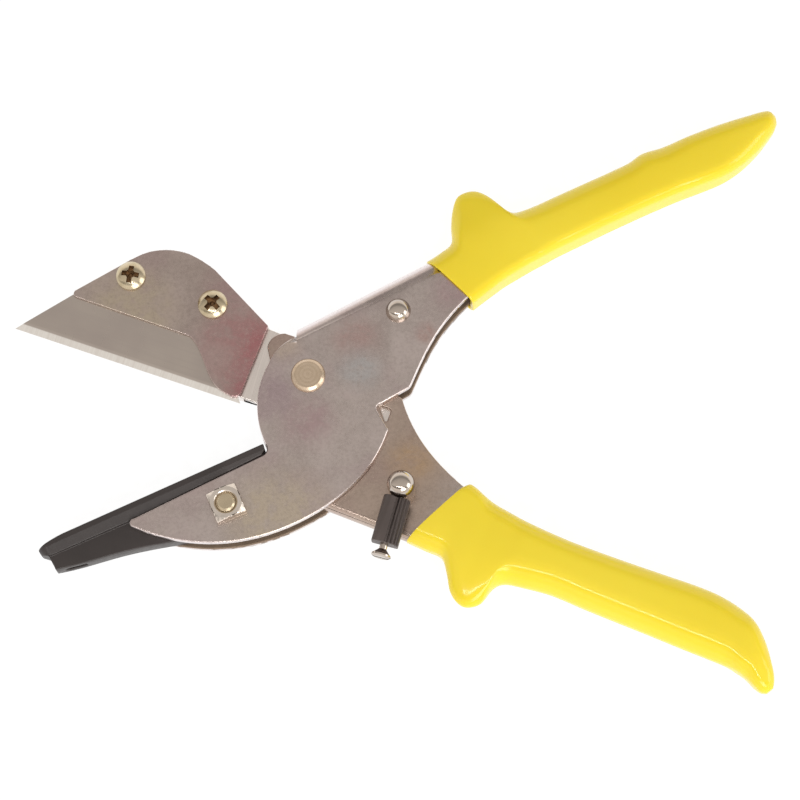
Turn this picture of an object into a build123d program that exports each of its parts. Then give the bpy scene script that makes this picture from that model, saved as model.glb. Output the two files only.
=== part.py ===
from build123d import *
from math import cos, radians, sin
import os

# ---------------------------------------------------------------- driving dimensions (mm)
# Pivot axis at x = y = 0, jaws towards -X, handles towards +X, rest plane at z = 0.
Z_MID = 6.4                 # middle plane of the tool
BODY_HALF = 4.6             # half thickness of the body shell
BODY_T = 2.0                # body sheet thickness
BODY_BACK = Z_MID - BODY_HALF
BODY_FRONT = Z_MID + BODY_HALF
LEVER_HALF = 2.5            # half thickness of the lever shell
LEVER_T = 1.5               # lever sheet thickness
LEVER_BACK = Z_MID - LEVER_HALF
LEVER_FRONT = Z_MID + LEVER_HALF
LEVER_BEND = 2.0            # outer bend radius of the lever's fold
LEVER_FOLD = (4.0, -33.7)   # front end of the lever's fold
LEVER_FOLD_ANGLE = -22.0
LEVER_FOLD_RUN = 43.0       # straight run up to the bend in the grip
LEVER_FOLD_BEND = 5.3       # bend, degrees
LEVER_FOLD_BEND_R = 100.0
LEVER_FOLD_TAIL = 53.0      # run after the bend
GRIP_THICK = 2 * Z_MID      # thickness of both grips
UPPER_GRIP_ROUND = 2.2      # rounding of the grips' long edges
LOWER_GRIP_ROUND = 1.4

FOLD_ANGLE = 27.6           # direction of the body's fold
FOLD_OFFSET = 8.5           # pivot axis to the fold's centre line
FOLD_CUT_X = -3.1           # where the fold starts
FOLD_RUN = 60.5             # straight run up to the slight bend in the grip
FOLD_BEND = -3.6            # slight bend, degrees
FOLD_BEND_R = 100.0
FOLD_TAIL = 45.0            # run after the bend

PIN_R = 2.5                 # pivot rivet shank
BUSH_BORE_R = 2.55          # running fit on the shank
BUSH_R = 4.0
HUB_R = 8.8                 # round end of the lever around the pivot
PIVOT_HEAD_R = 4.35
PIVOT_FACE_R = 3.55         # flat face inside the head's chamfer
PIVOT_HEAD_H = 1.2
PEEN_H = 1.0                # peened end, flat face at z = 0
PEEN_R = 3.4
WASHER_R = 4.6

ANVIL_ANGLE = 204.0         # direction of the anvil's top face, heel to tip
ANVIL_HEEL = (-11.15, -17.75)
ANVIL_LENGTH = 62.4
ANVIL_HALF = 5.3            # half width of the flange at the heel
ANVIL_TIP_HALF = 3.8
GROOVE_W = 2.4              # groove that the blade's edge closes into
GROOVE_DEPTH = 0.35

BLADE_TIP = (-75.36, 14.22)
BLADE_ANGLE = -19.47        # direction of the cutting edge, tip to heel
BLADE_EDGE = 61.5
BLADE_WIDTH = 19.0
BLADE_SLANT = 15.6          # run of each slanted end
BLADE_T = 0.6
BLADE_BEVEL = 2.5
ARM_FRONT = 7.4             # face of the arm that the blade lies on
CLAMP_FRONT = 8.9
CLAMP_T = 0.9

CLAMP_SCREWS = [(-45.8, 27.5), (-24.7, 19.7)]
M4_R = 2.0
M4_HEAD_R = 3.75
M4_HEAD_H = 2.5
M4_HEAD_WALL = 0.75         # straight side below the dome
CROSS_LENGTH = 4.5          # cross recess
CROSS_WIDTH = 1.3
CROSS_DEPTH = 1.6
CROSS_TURNS = (-10.0, 45.0)  # how the two recesses stand
NUT_AT = (-20.2, -33.2)
M5_R = 2.5
NUT_AF = 8.0
NUT_H = 2.7
NUT_TURN = 23.0
NUT_FACE_R = 4.0            # circle that the chamfer leaves on the nut's face
NUT_CHAMFER_H = 1.1         # chamfer's drop outside that circle, down to the corners
SCREW_HEAD_R = 4.4
SCREW_HEAD_H = 1.6

RIVETS = [(-6.0, 5.8), (10.5, -13.2)]
RIVET_R = 1.5
POST_AT = (22.8, 16.9)
POST_R = 1.7
POST_DOME_R = 3.2
POST_DOME_H = 2.6
POST_BACK_R = 2.6
POST_BACK_H = 0.9

SPRING_R = 4.6              # coil radius, wire centre
SPRING_WIRE = 0.35          # wire radius
SPRING_LOW = 5.8
SPRING_HIGH = 7.0
SPRING_LEG_UP = 23.0        # direction of the leg under the upper post
SPRING_LEG_DOWN = -20.5     # direction of the leg on the blade arm

LATCH_AT = (23.6, -29.3)
LATCH_ANGLE = -105.5        # rest direction of the latch
LATCH_Z = 13.6              # axis of the barrel
LATCH_FLOOR = 11.2          # underside of the latch
LATCH_POST_R = 1.8
LATCH_BALL_R = 3.55
LATCH_BALL_Z = 14.3
LATCH_EYE_T = 2.0
LATCH_EYE_R = 3.3
LATCH_NECK_R = 1.0
LATCH_HEAD_R = 2.5
LATCH_END = 19.2            # latch pivot to the end of its head


def on_line(angle, along, left=0.0):
    """Point at a distance along a direction and to the left of it."""
    a = radians(angle)
    return Vector(along * cos(a) - left * sin(a), along * sin(a) + left * cos(a))


def fold_line(start_along):
    """Centre line of the body's fold, drawn in the current BuildLine."""
    first = Line(on_line(FOLD_ANGLE, start_along, FOLD_OFFSET), on_line(FOLD_ANGLE, FOLD_RUN, FOLD_OFFSET))
    bend = JernArc(start=first @ 1, tangent=first % 1, radius=FOLD_BEND_R, arc_size=FOLD_BEND)
    last = Line(bend @ 1, bend @ 1 + (bend % 1) * FOLD_TAIL)
    return first @ 0, last @ 1


# where the fold's centre line passes the cut
FOLD_START = (FOLD_CUT_X + FOLD_OFFSET * sin(radians(FOLD_ANGLE))) / cos(radians(FOLD_ANGLE))


def body_outline():
    """Outline of one body ply: jaw, cheek round the pivot and handle."""
    start, end = fold_line(FOLD_START)
    cheek = (-3.1, 10.2)
    Line(start, cheek)
    ThreePointArc(cheek, (-7.3, 7.75), (-10.0, 3.5))
    ThreePointArc((-10.0, 3.5), (-12.85, -6.2), (-10.65, -17.7))
    ThreePointArc((-10.65, -17.7), (-10.3, -19.2), (-11.3, -20.55))
    Line((-11.3, -20.55), (-43.4, -36.6))
    ThreePointArc((-43.4, -36.6), (-44.5, -37.55), (-43.7, -38.8))
    Spline(
        (-43.7, -38.8), (-32.5, -42.3), (-24.0, -43.1), (-14.3, -42.1), (3.2, -34.9), (12.9, -27.0), (20.0, -14.9)
    )
    ThreePointArc((20.0, -14.9), (20.25, -14.3), (19.85, -13.6))
    Line((19.85, -13.6), (17.5, -9.3))
    ThreePointArc((17.5, -9.3), (17.35, -8.3), (18.3, -7.5))
    Line((18.3, -7.5), (24.9, -3.75))
    ThreePointArc((24.9, -3.75), (25.7, -3.1), (26.2, -2.2))
    Spline(
        (26.2, -2.2), (28.5, 3.1), (33.4, 12.1), (40.2, 20.1), (50.0, 28.2), (62.0, 35.0), (84.0, 45.4), (97.0, 51.0)
    )
    Line((97.0, 51.0), end)


def swept_fold(outer, inner):
    """Round fold section, outer half disc less the inner one, along the fold line."""
    with BuildLine() as path:
        start, end = fold_line(FOLD_START - 3.0)
    section = Plane(
        origin=(start.X, start.Y, Z_MID),
        x_dir=(-sin(radians(FOLD_ANGLE)), cos(radians(FOLD_ANGLE)), 0),
        z_dir=(cos(radians(FOLD_ANGLE)), sin(radians(FOLD_ANGLE)), 0),
    )
    with BuildPart() as fold:
        with BuildSketch(section):
            Circle(outer)
            if inner > 0:
                Circle(inner, mode=Mode.SUBTRACT)
            with Locations((-outer / 2, 0)):
                Rectangle(outer, 2 * outer + 1, mode=Mode.SUBTRACT)
        sweep(path=Pos(0, 0, Z_MID) * path.wire())
        with Locations((FOLD_CUT_X - 10, 8, Z_MID)):
            Box(20, 40, 20, mode=Mode.SUBTRACT)
    return fold.part


def body_plies(z0, thickness):
    """The body outline as a plate."""
    with BuildPart() as plate:
        with BuildSketch(Plane.XY.offset(z0)):
            with BuildLine():
                body_outline()
            make_face()
        extrude(amount=thickness)
    return plate.part


# ---------------------------------------------------------------- body shell
with BuildPart() as body_shell:
    add(body_plies(BODY_BACK, BODY_T))
    add(body_plies(BODY_FRONT - BODY_T, BODY_T))
    add(swept_fold(BODY_HALF, BODY_HALF - BODY_T))
    with BuildSketch():
        Circle(PIN_R)
        with Locations(NUT_AT):
            Circle(M5_R)
        with Locations(POST_AT):
            Circle(POST_R)
    extrude(amount=GRIP_THICK, mode=Mode.SUBTRACT)

# ---------------------------------------------------------------- anvil
ANVIL_PLANE = Plane(
    origin=(ANVIL_HEEL[0], ANVIL_HEEL[1], Z_MID),
    x_dir=(cos(radians(ANVIL_ANGLE)), sin(radians(ANVIL_ANGLE)), 0),
    z_dir=(sin(radians(ANVIL_ANGLE)), -cos(radians(ANVIL_ANGLE)), 0),
)
FLANGE_DEPTH = 5.0
FLANGE_TOP = 1.5            # square part; below it the faces slope in to the web
FLANGE_SLOPE = 20.0

with BuildPart() as anvil:
    # flange seen from above: tapered, with a rounded tip
    with BuildSketch(ANVIL_PLANE) as flange_plan:
        with BuildLine():
            Polyline(
                (ANVIL_LENGTH, -ANVIL_TIP_HALF),
                (0, -ANVIL_HALF),
                (0, ANVIL_HALF),
                (ANVIL_LENGTH, ANVIL_TIP_HALF),
                close=True,
            )
        make_face()
        fillet(flange_plan.vertices().group_by(Axis.X)[-1], 3.0)
    extrude(amount=-FLANGE_TOP)
    underside = anvil.faces().sort_by(Axis(ANVIL_PLANE.origin, -ANVIL_PLANE.z_dir))[-1]
    extrude(underside, amount=FLANGE_DEPTH - FLANGE_TOP, taper=FLANGE_SLOPE)
    # flange seen from the front: straight top, drooping nose, underside on the plies' edges
    with BuildSketch(Plane.XY) as flange_side:
        with BuildLine():
            nose_start = Vector(*ANVIL_HEEL) + on_line(ANVIL_ANGLE, 55.0)
            Line(ANVIL_HEEL, nose_start)
            ThreePointArc(nose_start, (-65.2, -42.3), (-67.6, -44.0))
            Polyline((-67.6, -44.0), (-66.9, -45.3), (-64.6, -45.8), (-43.6, -36.6), (-11.6, -20.6), (-10.75, -19.1),
                     ANVIL_HEEL)
        make_face()
    extrude(amount=GRIP_THICK, mode=Mode.INTERSECT)
    # groove for the blade
    with BuildSketch(Plane(origin=ANVIL_PLANE.origin, x_dir=(0, 0, 1), z_dir=ANVIL_PLANE.x_dir)):
        with Locations((ARM_FRONT + BLADE_T / 2 - Z_MID, 0)):
            Rectangle(GROOVE_W, 2 * GROOVE_DEPTH)
    extrude(amount=ANVIL_LENGTH, mode=Mode.SUBTRACT)
    # web between the plies
    with BuildSketch(Plane.XY.offset(BODY_BACK + BODY_T)):
        with BuildLine():
            Polyline((-11.6, -20.4), (-44.6, -36.6), (-65.0, -45.4), (-63.2, -48.7))
            ThreePointArc((-63.2, -48.7), (-63.0, -49.05), (-62.6, -49.05))
            Spline((-62.6, -49.05), (-57.4, -47.9), (-47.2, -45.0), (-37.4, -42.9), (-26.0, -41.3))
            Polyline((-26.0, -41.3), (-12.6, -38.0), (-10.6, -24.0), (-11.6, -20.4))
        make_face()
    extrude(amount=2 * (BODY_HALF - BODY_T))
    # long pocket in the web's lower edge, near the tip
    with BuildSketch(Plane(origin=(-58.0, -48.0, Z_MID), x_dir=(cos(radians(15)), sin(radians(15)), 0),
                           z_dir=(sin(radians(15)), -cos(radians(15)), 0))):
        SlotOverall(5.4, 1.9)
    extrude(amount=2.5, both=True, mode=Mode.SUBTRACT)
    with BuildSketch():
        with Locations(NUT_AT):
            Circle(M5_R)
    extrude(amount=GRIP_THICK, mode=Mode.SUBTRACT)

# ---------------------------------------------------------------- anvil screw and square nut
with BuildPart() as anvil_screw:
    with BuildSketch(Plane.XY.offset(BODY_BACK - SCREW_HEAD_H)):
        with Locations(NUT_AT):
            Circle(SCREW_HEAD_R)
    extrude(amount=SCREW_HEAD_H)
    fillet(anvil_screw.edges().group_by(Axis.Z)[0], 1.0)
    with BuildSketch(Plane.XY.offset(BODY_BACK - SCREW_HEAD_H)):
        with Locations(NUT_AT):
            Rectangle(6.4, 1.1)
    extrude(amount=0.9, mode=Mode.SUBTRACT)
    with BuildSketch(Plane.XY.offset(BODY_BACK - 0.1)):
        with Locations(NUT_AT):
            Circle(M5_R)
    extrude(amount=2 * BODY_HALF + NUT_H + 0.4)
    chamfer(anvil_screw.edges().group_by(Axis.Z)[-1], 0.6)


def turned(profile, at):
    """Solid of revolution about the vertical axis at a point, from (radius, z) corners."""
    with BuildPart() as solid:
        with BuildSketch(Plane.XZ):
            with BuildLine():
                Polyline(*profile, close=True)
            make_face()
        revolve(axis=Axis.Z)
    return Pos(at[0], at[1], 0) * solid.part


def domed(radius, height, z, at):
    """Spherical cap standing on z."""
    ball = (radius * radius + height * height) / (2 * height)
    with BuildPart() as cap:
        with BuildSketch(Plane.XZ):
            with BuildLine():
                Line((0, z), (radius, z))
                RadiusArc((radius, z), (0, z + height), -ball)
                Line((0, z + height), (0, z))
            make_face()
        revolve(axis=Axis.Z)
    return Pos(at[0], at[1], 0) * cap.part


with BuildPart() as anvil_nut:
    with BuildSketch(Plane.XY.offset(BODY_FRONT)):
        with Locations(NUT_AT):
            Rectangle(NUT_AF, NUT_AF, rotation=NUT_TURN)
    extrude(amount=NUT_H)
    # chamfered corners, bore and its countersink
    add(turned([
        (M5_R, BODY_FRONT),
        (NUT_AF * 0.75, BODY_FRONT),
        (NUT_AF * 0.75, BODY_FRONT + NUT_H - NUT_CHAMFER_H - 0.2),
        (NUT_FACE_R, BODY_FRONT + NUT_H),
        (M5_R + 0.5, BODY_FRONT + NUT_H),
        (M5_R, BODY_FRONT + NUT_H - 0.4),
    ], NUT_AT), mode=Mode.INTERSECT)

# ---------------------------------------------------------------- pivot rivet, washer and bush
with BuildPart() as pivot_rivet:
    add(turned([
        (0, 0),
        (PEEN_R - 0.4, 0),
        (PEEN_R, 0.4),
        (PEEN_R, PEEN_H),
        (PIN_R, PEEN_H),
        (PIN_R, BODY_FRONT),
        (PIVOT_HEAD_R, BODY_FRONT),
        (PIVOT_HEAD_R, BODY_FRONT + 0.3),
        (PIVOT_HEAD_R - 0.25, BODY_FRONT + 0.65),
        (PIVOT_FACE_R, BODY_FRONT + PIVOT_HEAD_H - 0.1),
        (PIVOT_FACE_R - 0.15, BODY_FRONT + PIVOT_HEAD_H),
        (0, BODY_FRONT + PIVOT_HEAD_H),
    ], (0, 0)))

with BuildPart() as pivot_washer:
    with BuildSketch(Plane.XY.offset(PEEN_H)):
        Circle(WASHER_R)
        Circle(PIN_R, mode=Mode.SUBTRACT)
    extrude(amount=BODY_BACK - PEEN_H)

with BuildPart() as pivot_bush:
    with BuildSketch(Plane.XY.offset(LEVER_BACK)):
        Circle(BUSH_R)
        Circle(BUSH_BORE_R, mode=Mode.SUBTRACT)
    extrude(amount=2 * LEVER_HALF)

# ---------------------------------------------------------------- upper post
with BuildPart() as upper_post:
    with BuildSketch(Plane.XY.offset(BODY_BACK - 0.2)):
        with Locations(POST_AT):
            Circle(POST_R)
    extrude(amount=2 * BODY_HALF + 0.4)
    add(domed(POST_DOME_R, POST_DOME_H, BODY_FRONT, POST_AT))
    add(turned([
        (0, BODY_BACK - POST_BACK_H),
        (POST_BACK_R - 0.5, BODY_BACK - POST_BACK_H),
        (POST_BACK_R, BODY_BACK - POST_BACK_H / 2),
        (POST_BACK_R, BODY_BACK),
        (0, BODY_BACK),
    ], POST_AT))

# ---------------------------------------------------------------- lever shell
def lever_fold_line(inset):
    """Bottom edge of the lever, moved inwards by an inset."""
    start = Vector(*LEVER_FOLD) + on_line(LEVER_FOLD_ANGLE, 0, inset)
    first = Line(start, start + on_line(LEVER_FOLD_ANGLE, LEVER_FOLD_RUN))
    bend = JernArc(start=first @ 1, tangent=first % 1, radius=LEVER_FOLD_BEND_R - inset,
                   arc_size=LEVER_FOLD_BEND)
    last = Line(bend @ 1, bend @ 1 + (bend % 1) * LEVER_FOLD_TAIL)
    return first @ 0, last @ 1


def lever_outline():
    """Outline of the lever: tab, hub, neck and handle."""
    start, end = lever_fold_line(0)
    hub_left = on_line(228, HUB_R)
    hub_top = (-3.5, 8.074)
    Line(start, (2.6, -31.5))
    Line((2.6, -31.5), hub_left)
    ThreePointArc(hub_left, on_line(190, HUB_R), on_line(158, HUB_R))
    Line(on_line(158, HUB_R), (-9.9, 5.0))
    Line((-9.9, 5.0), (-10.6, 8.3))
    ThreePointArc((-10.6, 8.3), (-9.1, 10.9), (-6.1, 11.9))
    Line((-6.1, 11.9), (-3.5, 11.0))
    Line((-3.5, 11.0), hub_top)
    ThreePointArc(hub_top, on_line(80, HUB_R), on_line(52, HUB_R))
    Line(on_line(52, HUB_R), (22.6, -4.75))
    ThreePointArc((22.6, -4.75), (23.5, -5.5), (24.0, -6.7))
    Spline((24.0, -6.7), (31.0, -20.2), (39.2, -28.8), (47.0, -34.9), (56.0, -39.9), (69.0, -46.0), (85.0, -52.0),
           (96.0, -56.3))
    Line((96.0, -56.3), end)


def on_lever_fold(edge):
    """True for the long edges at the lever's folded side."""
    middle = edge @ 0.5
    if abs(middle.Z - LEVER_BACK) > 0.01 and abs(middle.Z - LEVER_FRONT) > 0.01:
        return False
    rise = (middle.Y - LEVER_FOLD[1]) - (middle.X - LEVER_FOLD[0]) * sin(radians(LEVER_FOLD_ANGLE)) / cos(
        radians(LEVER_FOLD_ANGLE))
    return rise < 1.8 and middle.X > LEVER_FOLD[0] + 5 and edge.length > 2.0 and middle.X < 98


with BuildPart() as lever_envelope:
    with BuildSketch(Plane.XY.offset(LEVER_BACK)):
        with BuildLine():
            lever_outline()
        make_face()
    extrude(amount=2 * LEVER_HALF)
    fillet(lever_envelope.edges().filter_by(on_lever_fold), LEVER_BEND)

with BuildPart() as lever_shell:
    add(lever_envelope.part)
    # the space between the plies, closed at the fold only
    with BuildSketch(Plane.XY.offset(LEVER_BACK + LEVER_T)):
        with BuildLine():
            inner_start, inner_end = lever_fold_line(LEVER_T)
            Polyline(inner_start, (-12, -28), (-20, 20), (60, 20), (110, -30), inner_end)
        make_face()
    extrude(amount=2 * (LEVER_HALF - LEVER_T), mode=Mode.SUBTRACT)
    with BuildSketch():
        Circle(BUSH_R)
        with Locations(RIVETS):
            Circle(RIVET_R)
        with Locations(LATCH_AT):
            Circle(LATCH_POST_R)
    extrude(amount=GRIP_THICK, mode=Mode.SUBTRACT)
    # sight notch in the front ply
    with BuildSketch(Plane.XY.offset(LEVER_FRONT - LEVER_T)) as sight:
        with BuildLine():
            Polyline((17.8, -7.2), (20.9, -8.5), (19.6, -12.4), close=True)
        make_face()
        fillet(sight.vertices(), 0.4)
    extrude(amount=LEVER_T + 1, mode=Mode.SUBTRACT)


# ---------------------------------------------------------------- blade arm
def clamp_outline():
    """Outline of the clamp plate."""
    Line((-59.9, 24.1), (-49.2, 30.2))
    Spline((-49.2, 30.2), (-46.1, 32.0), (-42.0, 33.9), (-37.2, 34.6), (-31.5, 33.6), (-26.8, 31.0), (-24.2, 29.0))
    Line((-24.2, 29.0), (-10.4, 13.9))
    Line((-10.4, 13.9), (-16.9, -3.2))
    ThreePointArc((-16.9, -3.2), (-17.9, -4.5), (-20.4, -4.15))
    Spline((-20.4, -4.15), (-24.2, -1.1), (-27.9, 7.5), (-30.6, 11.5))
    Line((-30.6, 11.5), (-59.9, 22.2))
    ThreePointArc((-59.9, 22.2), (-60.5, 23.2), (-59.9, 24.1))


with BuildPart() as blade_arm:
    # head behind the blade
    with BuildSketch(Plane.XY.offset(LEVER_BACK)):
        with BuildLine():
            clamp_outline()
        make_face()
        with BuildLine():
            Polyline((-24.5, 20), (-12.4, 15.3), (-11.3, 10.6), (-14.1, 3.0), (-16.3, -4.9), (-20.0, -3.9), close=True)
        make_face()
    extrude(amount=ARM_FRONT - LEVER_BACK)
    # tail between the lever's plies
    with BuildSketch(Plane.XY.offset(LEVER_BACK + LEVER_T)):
        with BuildLine():
            Polyline(
                (-12.6, 14.6),
                (-10.4, 13.6),
                (-6.6, 11.9),
                (-3.9, 8.6),
                (0, 0),
                (-1.77, -4.73),
                (15.4, -11.15),
                (17.4, -6.6),
                (21.6, -8.0),
                (22.3, -13.0),
                (19.0, -17.0),
                (8.0, -17.0),
                (-4.0, -9.6),
                (-16.5, -4.85),
                close=True,
            )
        make_face()
    extrude(amount=2 * (LEVER_HALF - LEVER_T))
    with BuildSketch():
        Circle(SPRING_R + SPRING_WIRE + 0.4)
        with Locations(RIVETS):
            Circle(RIVET_R)
        with Locations(CLAMP_SCREWS):
            Circle(M4_R)
    extrude(amount=GRIP_THICK, mode=Mode.SUBTRACT)

# ---------------------------------------------------------------- blade
BLADE_PLANE = Plane(
    origin=(BLADE_TIP[0], BLADE_TIP[1], ARM_FRONT),
    x_dir=(cos(radians(BLADE_ANGLE)), sin(radians(BLADE_ANGLE)), 0),
    z_dir=(0, 0, 1),
)

with BuildPart() as blade:
    with BuildSketch(BLADE_PLANE):
        with BuildLine():
            Polyline(
                (0, 0),
                (BLADE_EDGE, 0),
                (BLADE_EDGE - BLADE_SLANT, BLADE_WIDTH),
                (BLADE_SLANT, BLADE_WIDTH),
                close=True,
            )
        make_face()
    extrude(amount=BLADE_T)
    # ground bevels on both faces
    with BuildSketch(Plane(origin=BLADE_PLANE.origin, x_dir=BLADE_PLANE.y_dir, z_dir=BLADE_PLANE.x_dir)):
        with BuildLine():
            Polyline(
                (0, BLADE_T / 2),
                (BLADE_BEVEL, BLADE_T),
                (BLADE_WIDTH, BLADE_T),
                (BLADE_WIDTH, 0),
                (BLADE_BEVEL, 0),
                close=True,
            )
        make_face()
    extrude(amount=BLADE_EDGE, mode=Mode.INTERSECT)

# ---------------------------------------------------------------- clamp plate and screws
with BuildPart() as clamp_plate:
    with BuildSketch(Plane.XY.offset(CLAMP_FRONT - CLAMP_T)):
        with BuildLine():
            clamp_outline()
        make_face()
        with Locations(CLAMP_SCREWS):
            Circle(M4_R, mode=Mode.SUBTRACT)
    extrude(amount=CLAMP_T)

with BuildPart() as pan_screw:
    # shank, straight-sided head and its dome
    with BuildSketch(Plane.XY.offset(LEVER_BACK + 0.4)):
        Circle(M4_R)
    extrude(amount=CLAMP_FRONT - LEVER_BACK)
    with BuildSketch(Plane.XY.offset(CLAMP_FRONT)):
        Circle(M4_HEAD_R)
    extrude(amount=M4_HEAD_WALL)
    add(domed(M4_HEAD_R, M4_HEAD_H - M4_HEAD_WALL, CLAMP_FRONT + M4_HEAD_WALL, (0, 0)))
    # cross recess with a deeper conical centre
    with BuildSketch(Plane.XY.offset(CLAMP_FRONT + M4_HEAD_H)):
        Rectangle(CROSS_LENGTH, CROSS_WIDTH)
        Rectangle(CROSS_WIDTH, CROSS_LENGTH)
    extrude(amount=-CROSS_DEPTH, mode=Mode.SUBTRACT)
    with BuildSketch(Plane.XY.offset(CLAMP_FRONT + M4_HEAD_H)):
        Circle(1.25)
    extrude(amount=-CROSS_DEPTH - 0.4, taper=22, mode=Mode.SUBTRACT)

with BuildPart() as clamp_screws:
    for place, turn in zip(CLAMP_SCREWS, CROSS_TURNS):
        add(Pos(*place) * Rot(0, 0, turn) * pan_screw.part)

with BuildPart() as arm_rivets:
    for place in RIVETS:
        with BuildSketch(Plane.XY.offset(LEVER_BACK)):
            with Locations(place):
                Circle(RIVET_R)
        extrude(amount=2 * LEVER_HALF)


# ---------------------------------------------------------------- return spring
LEG_UP_LENGTH = 28.5
LEG_DOWN_LENGTH = 16.5
COIL_START = SPRING_LEG_UP + 90
COIL_TURN = (SPRING_LEG_DOWN - 90 + 360) - COIL_START + 360

coil = Rot(0, 0, COIL_START) * Helix(
    pitch=(SPRING_HIGH - SPRING_LOW) * 360 / COIL_TURN,
    height=SPRING_HIGH - SPRING_LOW,
    radius=SPRING_R,
    center=(0, 0, SPRING_LOW),
)
leg_up = Line(on_line(SPRING_LEG_UP, LEG_UP_LENGTH, SPRING_R) + Vector(0, 0, SPRING_LOW), coil @ 0)
leg_down = Line(coil @ 1, on_line(SPRING_LEG_DOWN, LEG_DOWN_LENGTH, -SPRING_R) + Vector(0, 0, SPRING_HIGH))
wire_section = Plane(origin=leg_up @ 0, z_dir=leg_up % 0) * Circle(SPRING_WIRE)
wire_path = Wire([leg_up, coil, leg_down])
spring_wire = sweep(wire_section, path=wire_path, transition=Transition.TRANSFORMED)

with BuildPart() as return_spring:
    add(spring_wire)


# ---------------------------------------------------------------- grips
def upper_grip_outline():
    """Silhouette of the upper grip: mouth, finger stop, bar and hooked end."""
    Line((42.0, 19.2), (30.0, 30.9))
    Line((30.0, 30.9), (36.3, 35.2))
    Spline(
        (36.3, 35.2), (36.6, 44.6), (38.0, 48.4), (41.7, 49.8), (45.1, 48.7), (48.8, 45.2), (51.9, 43.8), (56.3, 45.0),
        (81.9, 56.9), (85.4, 59.4), (90.8, 61.1), (103.3, 66.2), (115.9, 70.2),
    )
    ThreePointArc((115.9, 70.2), (119.6, 70.4), (120.3, 67.0))
    Spline((120.3, 67.0), (117.2, 61.6), (112.0, 56.2), (106.5, 52.6), (84.4, 43.3), (63.0, 33.0), (51.1, 26.2),
           (42.0, 19.2))


def lower_grip_outline():
    """Silhouette of the lower grip: mouth, thumb stop, bar and drooped end."""
    Line((24.8, -42.3), (39.8, -28.6))
    ThreePointArc((39.8, -28.6), (40.6, -28.2), (41.5, -28.4))
    Spline((41.5, -28.4), (47.0, -33.0), (55.6, -38.0), (68.9, -44.1), (84.7, -50.0), (97.8, -54.8), (105.6, -58.6),
           (110.9, -63.5), (113.8, -69.8), (115.3, -77.0))
    ThreePointArc((115.3, -77.0), (114.7, -80.9), (111.4, -80.8))
    Spline((111.4, -80.8), (106.9, -76.4), (103.5, -74.4), (84.6, -66.4), (60.8, -56.2), (54.1, -54.3), (49.1, -53.3),
           (46.1, -54.6), (43.1, -58.2), (39.7, -59.1), (37.3, -57.9), (35.5, -55.0), (34.1, -46.8))
    Line((34.1, -46.8), (24.8, -42.3))


def rounded_slab(outline, radius):
    """Grip silhouette through the full thickness with rounded long edges."""
    with BuildPart() as slab:
        with BuildSketch():
            with BuildLine():
                outline()
            make_face()
        extrude(amount=GRIP_THICK)
        rims = slab.edges().group_by(Axis.Z)[0] + slab.edges().group_by(Axis.Z)[-1]
        fillet(rims.filter_by(GeomType.LINE, reverse=True), radius)
    return slab.part


with BuildPart() as upper_grip:
    add(rounded_slab(upper_grip_outline, UPPER_GRIP_ROUND))
    add(body_plies(BODY_BACK, 2 * BODY_HALF), mode=Mode.SUBTRACT)
    add(swept_fold(BODY_HALF, 0), mode=Mode.SUBTRACT)

with BuildPart() as lower_grip:
    add(rounded_slab(lower_grip_outline, LOWER_GRIP_ROUND))
    add(lever_envelope.part, mode=Mode.SUBTRACT)

# ---------------------------------------------------------------- latch
with BuildPart() as latch_post:
    # ball, flat underneath, on a shouldered pin
    with Locations((LATCH_AT[0], LATCH_AT[1], LATCH_BALL_Z)):
        Sphere(LATCH_BALL_R)
    with Locations((LATCH_AT[0], LATCH_AT[1], LATCH_FLOOR + LATCH_EYE_T + 0.1 - 5)):
        Cylinder(LATCH_BALL_R + 1, 10, mode=Mode.SUBTRACT)
    add(turned([
        (0, LEVER_BACK - 1.0),
        (2.6, LEVER_BACK - 1.0),
        (3.0, LEVER_BACK - 0.6),
        (3.0, LEVER_BACK),
        (LATCH_POST_R, LEVER_BACK),
        (LATCH_POST_R, LATCH_BALL_Z),
        (0, LATCH_BALL_Z),
    ], LATCH_AT))

with BuildPart() as latch_spacer:
    with BuildSketch(Plane.XY.offset(LEVER_FRONT)):
        with Locations(LATCH_AT):
            Circle(3.2)
            Circle(LATCH_POST_R, mode=Mode.SUBTRACT)
    extrude(amount=LATCH_FLOOR - 0.1 - LEVER_FRONT)

LATCH_PLANE = Plane(
    origin=(LATCH_AT[0], LATCH_AT[1], 0),
    x_dir=(cos(radians(LATCH_ANGLE)), sin(radians(LATCH_ANGLE)), 0),
    z_dir=(0, 0, 1),
)
BARREL_START = 3.5
BARREL_END = 15.6
BARREL_W = 6.8
BARREL_H = 4.8
BARREL_ROUND = 2.2
FLUTE_R = 0.27
TANG_W = 3.0

# finger flutes on one half of the barrel: on its flat top, then round the corner
FLUTES = [(LATCH_Z + BARREL_H / 2, -0.3), (LATCH_Z + BARREL_H / 2, -1.2)]
for around in (65, 40, 15):
    FLUTES.append((
        LATCH_Z + BARREL_H / 2 - BARREL_ROUND + BARREL_ROUND * sin(radians(around)),
        -(BARREL_W / 2 - BARREL_ROUND) - BARREL_ROUND * cos(radians(around)),
    ))

with BuildPart() as latch_eye:
    with BuildSketch(LATCH_PLANE.offset(LATCH_FLOOR)):
        Circle(LATCH_EYE_R)
        with Locations((6.5, 0)):
            Rectangle(9.0, TANG_W)
        Circle(LATCH_POST_R + 0.05, mode=Mode.SUBTRACT)
    extrude(amount=LATCH_EYE_T)

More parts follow.
